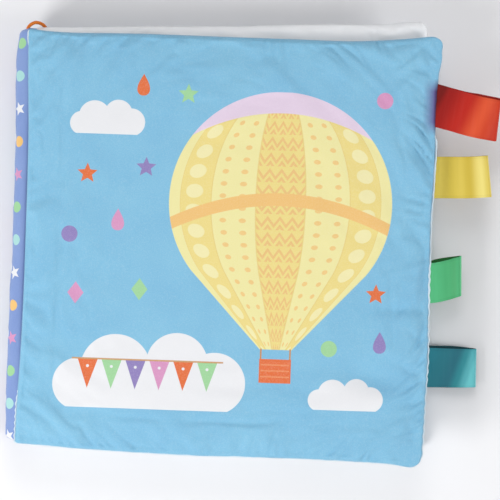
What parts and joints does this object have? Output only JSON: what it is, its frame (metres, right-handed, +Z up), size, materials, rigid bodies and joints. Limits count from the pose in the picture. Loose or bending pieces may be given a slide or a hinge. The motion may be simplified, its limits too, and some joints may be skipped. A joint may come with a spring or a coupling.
{
  "type": "cloth crinkle book",
  "caption": "Soft padded cloth book for a baby, closed and lying on its back cover, with crackling film in its covers, folded ribbon tabs along the fore-edge and a cord loop at the spine.",
  "frame": {"origin": "middle of the flat resting face under the back cover, book closed", "axes": "+X from the spine to the fore-edge with the ribbon tabs, +Y to the head of the book, +Z up out of the front cover"},
  "size_m": [0.183, 0.1654, 0.0254],
  "materials": {
    "blue_satin": "printed satin-like polyester, soft sheen",
    "white_lining": "plain woven polyester",
    "wadding": "soft polyester wadding",
    "crinkle_film": "thin crackling film",
    "spine_cloth": "printed satin-like polyester",
    "page_cloth": "printed satin-like polyester, white",
    "thread": "sewing thread",
    "red_ribbon": "satin ribbon",
    "yellow_ribbon": "satin ribbon",
    "green_ribbon": "satin ribbon",
    "teal_ribbon": "satin ribbon",
    "orange_cord": "braided cord",
    "ink_pale_yellow": "printed on satin",
    "ink_ochre": "printed on satin",
    "ink_white": "printed on satin",
    "ink_coral": "printed on satin",
    "ink_pink": "printed on satin",
    "ink_green": "printed on satin",
    "ink_violet": "printed on satin"
  },
  "bodies": {
    "book_block": {"spine_strip": "spine_cloth", "pages": "page_cloth", "binding_stitches": "thread", "yellow_ribbon_tab": "yellow_ribbon", "green_ribbon_tab": "green_ribbon", "hanging_loop": "orange_cord", "spine_print": "ink_white"},
    "front_cover": {"front_cover_panel": "blue_satin", "front_cover_lining": "white_lining", "front_wadding": "wadding", "front_crinkle_film": "crinkle_film", "red_ribbon_tab": "red_ribbon", "print_pale_yellow": "ink_pale_yellow", "print_ochre": "ink_ochre", "print_white": "ink_white", "print_coral": "ink_coral", "print_pink": "ink_pink", "print_green": "ink_green", "print_violet": "ink_violet"},
    "back_cover": {"back_cover_panel": "blue_satin", "back_cover_lining": "white_lining", "back_wadding": "wadding", "back_crinkle_film": "crinkle_film", "teal_ribbon_tab": "teal_ribbon"}
  },
  "joints": [
    {"name": "front_cover_hinge", "type": "hinge", "parent": "book_block", "child": "front_cover", "pos_m": [-0.077, 0.0016, 0.0221], "axis": [0, -1, 0], "range_deg": [0, 180]},
    {"name": "back_cover_hinge", "type": "hinge", "parent": "book_block", "child": "back_cover", "pos_m": [-0.077, 0.0016, 0.0031], "axis": [0, 1, 0], "range_deg": [0, 180]}
  ]
}
